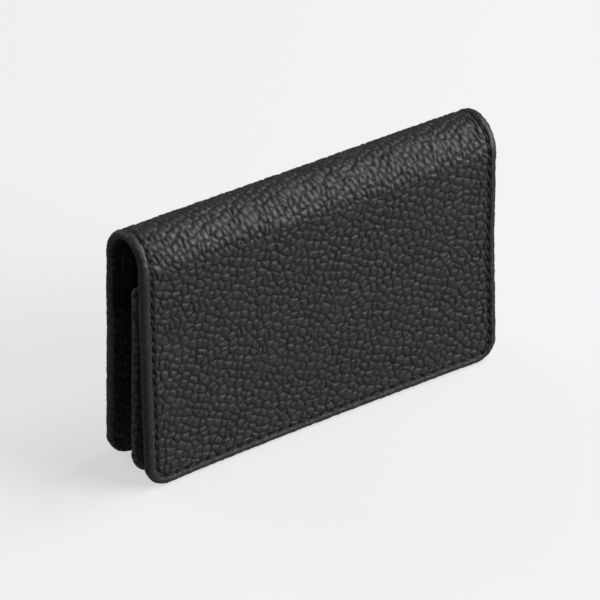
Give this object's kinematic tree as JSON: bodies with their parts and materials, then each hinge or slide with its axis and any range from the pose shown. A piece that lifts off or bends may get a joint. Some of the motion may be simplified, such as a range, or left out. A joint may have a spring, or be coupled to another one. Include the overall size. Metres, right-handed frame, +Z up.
{
  "type": "business card case",
  "caption": "Folding leather business card case that stands on its two lower edges, with a gusseted card pocket on the front panel and a slip pocket on the flap.",
  "frame": {"origin": "on the surface that the case stands on, halfway along its length and halfway through its depth", "axes": "+X along the fold, -Y the front panel, +Z up"},
  "size_m": [0.108, 0.0201, 0.0701],
  "materials": {
    "grain_leather": "satin pebbled grain",
    "lining_leather": "matt fine grain",
    "gusset_leather": "matt fine grain",
    "leather_board": "matt bonded fibre",
    "thread": "waxed satin"
  },
  "bodies": {
    "case": {"front_cover": "grain_leather", "front_board": "leather_board", "front_lining": "lining_leather", "front_seam": "thread", "left_gusset": "gusset_leather", "right_gusset": "gusset_leather", "pocket_base": "gusset_leather"},
    "spine": {"spine_cover": "grain_leather", "spine_lining": "lining_leather", "spine_seams": "thread"},
    "flap": {"flap_cover": "grain_leather", "flap_board": "leather_board", "flap_lining": "lining_leather", "flap_seam": "thread", "slip_pocket": "grain_leather", "slip_mouth_seam": "thread"},
    "pocket": {"pocket_wall": "grain_leather", "pocket_board": "leather_board", "pocket_lining": "lining_leather", "pocket_seam": "thread", "pocket_mouth_seam": "thread"}
  },
  "joints": [
    {"name": "front_fold", "type": "hinge", "parent": "case", "child": "spine", "pos_m": [0, -0.00749, 0.06745], "axis": [1, 0, 0], "range_deg": [0, 88.75]},
    {"name": "rear_fold", "type": "hinge", "parent": "spine", "child": "flap", "pos_m": [0, 0.00481, 0.06745], "axis": [1, 0, 0], "range_deg": [0, 88.75]},
    {"name": "pocket_spread", "type": "hinge", "parent": "case", "child": "pocket", "pos_m": [0, -0.00534, 0.003], "axis": [-1, 0, 0], "range_deg": [0, 6], "stiffness_Nm_per_rad": 0.02, "springref_deg": -5.73, "deforming": ["left_gusset", "right_gusset", "pocket_base"]}
  ],
  "couplings": [
    {"joint": "rear_fold", "follows": "front_fold", "ratio": 1}
  ]
}
